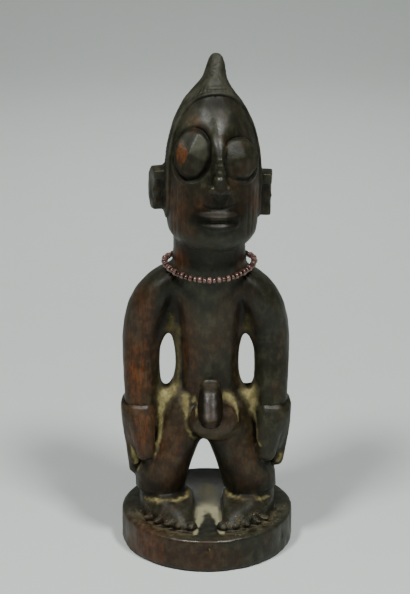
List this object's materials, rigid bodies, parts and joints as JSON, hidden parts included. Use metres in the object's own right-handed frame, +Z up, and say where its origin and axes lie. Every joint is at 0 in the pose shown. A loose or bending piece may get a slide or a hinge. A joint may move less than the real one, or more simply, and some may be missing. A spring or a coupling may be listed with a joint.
{
  "type": "carved wood figure",
  "caption": "Standing male twin figure carved with its round base from one block of dark wood, arms at its sides, with a string of small glass beads round the neck.",
  "frame": {"origin": "centre of the round base's underside, on the surface it stands on", "axes": "+Z up along the figure's height, the figure faces -Y, and +X is on the viewer's right"},
  "size_m": [0.0894, 0.0894, 0.261],
  "materials": {
    "dark_wood": "handled dark patina, half gloss",
    "wide_bead_glass": "opaque brick-red glass, worn gloss",
    "narrow_bead_glass": "opaque dark red glass, worn gloss",
    "cotton_thread": "twisted cotton, grimed"
  },
  "bodies": {
    "root": {"carved_figure": "dark_wood", "necklace_thread": "cotton_thread", "wide_bead_01": "wide_bead_glass", "wide_bead_02": "wide_bead_glass", "wide_bead_03": "wide_bead_glass", "wide_bead_04": "wide_bead_glass", "wide_bead_05": "wide_bead_glass", "wide_bead_06": "wide_bead_glass", "wide_bead_07": "wide_bead_glass", "wide_bead_08": "wide_bead_glass", "wide_bead_09": "wide_bead_glass", "wide_bead_10": "wide_bead_glass", "wide_bead_11": "wide_bead_glass", "wide_bead_12": "wide_bead_glass", "wide_bead_13": "wide_bead_glass", "wide_bead_14": "wide_bead_glass", "wide_bead_15": "wide_bead_glass", "wide_bead_16": "wide_bead_glass", "wide_bead_17": "wide_bead_glass", "wide_bead_18": "wide_bead_glass", "wide_bead_19": "wide_bead_glass", "wide_bead_20": "wide_bead_glass", "wide_bead_21": "wide_bead_glass", "wide_bead_22": "wide_bead_glass", "wide_bead_23": "wide_bead_glass", "wide_bead_24": "wide_bead_glass", "wide_bead_25": "wide_bead_glass", "wide_bead_26": "wide_bead_glass", "wide_bead_27": "wide_bead_glass", "wide_bead_28": "wide_bead_glass", "wide_bead_29": "wide_bead_glass", "narrow_bead_01": "narrow_bead_glass", "narrow_bead_02": "narrow_bead_glass", "narrow_bead_03": "narrow_bead_glass", "narrow_bead_04": "narrow_bead_glass", "narrow_bead_05": "narrow_bead_glass", "narrow_bead_06": "narrow_bead_glass", "narrow_bead_07": "narrow_bead_glass", "narrow_bead_08": "narrow_bead_glass", "narrow_bead_09": "narrow_bead_glass", "narrow_bead_10": "narrow_bead_glass", "narrow_bead_11": "narrow_bead_glass", "narrow_bead_12": "narrow_bead_glass", "narrow_bead_13": "narrow_bead_glass", "narrow_bead_14": "narrow_bead_glass", "narrow_bead_15": "narrow_bead_glass", "narrow_bead_16": "narrow_bead_glass", "narrow_bead_17": "narrow_bead_glass", "narrow_bead_18": "narrow_bead_glass", "narrow_bead_19": "narrow_bead_glass", "narrow_bead_20": "narrow_bead_glass", "narrow_bead_21": "narrow_bead_glass", "narrow_bead_22": "narrow_bead_glass", "narrow_bead_23": "narrow_bead_glass", "narrow_bead_24": "narrow_bead_glass", "narrow_bead_25": "narrow_bead_glass", "narrow_bead_26": "narrow_bead_glass", "narrow_bead_27": "narrow_bead_glass", "narrow_bead_28": "narrow_bead_glass", "narrow_bead_29": "narrow_bead_glass"}
  },
  "joints": []
}
